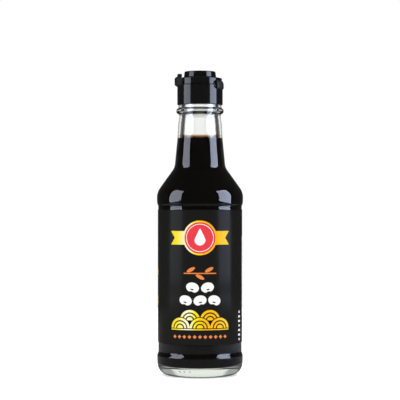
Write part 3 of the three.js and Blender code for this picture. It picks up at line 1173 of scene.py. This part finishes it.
# Two strip softboxes, in metres, each with its angle from the camera's direction, glow and colour
softbox = {
    "left": (-69, 4.8, (0.8, 0.85, 1.0)), "right": (71, 8.6, (0.68, 0.76, 1.0)),
    "distance": 0.62, "width": 0.43, "height": 0.62, "bottom": 0.005,
}
strip = {"from": 240, "to": 330, "z": 0.5, "steps": 24}


# A lamp stands at a place and faces a point
def placeLamp(data, place, target):
    lamp = bpy.data.objects.new(data.name, data)
    lamp.location = place
    lamp.rotation_euler = (Vector(target) - lamp.location).to_track_quat("-Z", "Y").to_euler()
    scene.collection.objects.link(lamp)
    return lamp


def addSoftbox(name, deg, glow, color):
    wide, tall, away = softbox["width"], softbox["height"], softbox["distance"]
    data = bpy.data.lights.new(name, "AREA")
    data.shape = "RECTANGLE"
    data.size = wide
    data.size_y = tall
    data.energy = glow * math.pi * wide * tall
    data.color = color
    angle, middle = math.radians(deg), softbox["bottom"] + tall / 2
    lamp = placeLamp(data, (away * math.sin(angle), -away * math.cos(angle), middle), (0, 0, middle))
    lamp.visible_diffuse = False


# A softbox mirrored in the floor: it carries the softbox's gloss down the label
def makeFloorStrip(name, deg, glow, color):
    bm = bmesh.new()
    pen = Pen(bm, strip["from"], strip["z"])
    pen.lineTo(strip["to"], strip["z"])
    half = math.degrees(math.atan(softbox["width"] / 2 / softbox["distance"]))
    sweepOpen(bm, deg - 90 - half, deg - 90 + half, strip["steps"])
    stageGlow(bm, name, color, glow, "glossy")


# Lights that brighten matt surfaces without showing in the gloss
fill = {
    "power": 0.3, "size": 0.6, "place": (0.0, -1.1, 0.45), "target": (0, 0, 0.09),
    "sunStrength": 3.9, "sunAngleDeg": 120,
}


def addFill():
    front = bpy.data.lights.new("frontFill", "AREA")
    front.size = fill["size"]
    front.energy = fill["power"]
    sun = bpy.data.lights.new("topLight", "SUN")
    sun.energy = fill["sunStrength"]
    sun.angle = math.radians(fill["sunAngleDeg"])
    above = bpy.data.objects.new("topLight", sun)
    scene.collection.objects.link(above)
    for lamp in (placeLamp(front, fill["place"], fill["target"]), above):
        lamp.visible_glossy = False
        lamp.visible_transmission = False


# Surroundings: white to the eye and dark in reflections; through glass a white window shows behind and
# before, dark round it
world = {
    "white": 1.0, "halfWidthDeg": 26, "lowDeg": -6, "highDeg": 65, "softDeg": 4, "side": 0.06, "gloss": 0.05,
}


# One side of the window, from 0 to 1 about an angle; a negative softness turns it round
def windowSide(nodes, source, edgeDeg, softDeg):
    ends = [math.sin(math.radians(deg)) for deg in (edgeDeg - softDeg, edgeDeg + softDeg)]
    return mapRange(nodes, source, ends, soft=True)


def makeWorld():
    made = bpy.data.worlds.new("studio")
    made.use_nodes = True
    nodes = made.node_tree.nodes
    coords = nodes.new("ShaderNodeTexCoord")
    path = nodes.new("ShaderNodeLightPath")
    parts = splitVector(nodes, coords.outputs["Generated"])
    across = addMath(nodes, "ABSOLUTE", parts["X"])
    soft = world["softDeg"]
    wide = windowSide(nodes, across, world["halfWidthDeg"], -soft)
    low = windowSide(nodes, parts["Z"], world["lowDeg"], soft)
    high = windowSide(nodes, parts["Z"], world["highDeg"], -soft)
    window = addMath(nodes, "MULTIPLY", wide, addMath(nodes, "MULTIPLY", low, high))
    behind = mixColors(nodes, window, world["side"], world["white"])
    through = mixColors(nodes, path.outputs["Is Transmission Ray"], world["gloss"], behind)
    seen = mixColors(nodes, path.outputs["Is Camera Ray"], through, world["white"])
    join(seen, nodes["Background"].inputs["Color"])
    scene.world = made


# Camera, in metres: level, straight on; the frame's width is measured at the bottle's axis
camera = {"distance": 0.90, "frameWidth": 0.222, "height": 0.097, "sensor": 36.0}


def makeCamera():
    data = bpy.data.cameras.new("camera")
    data.sensor_width = camera["sensor"]
    data.lens = camera["sensor"] * camera["distance"] / camera["frameWidth"]
    eye = bpy.data.objects.new("camera", data)
    eye.location = (0, -camera["distance"], camera["height"])
    eye.rotation_euler = (math.radians(90), 0, 0)
    scene.collection.objects.link(eye)
    scene.camera = eye


makeFloor()
makeCard()
for side in ("left", "right"):
    addSoftbox(side + "Softbox", *softbox[side])
    makeFloorStrip(side + "Strip", *softbox[side])
addFill()
makeWorld()
makeCamera()
scene.view_settings.view_transform = "Standard"
scene.view_settings.look = "None"
print("studio made")
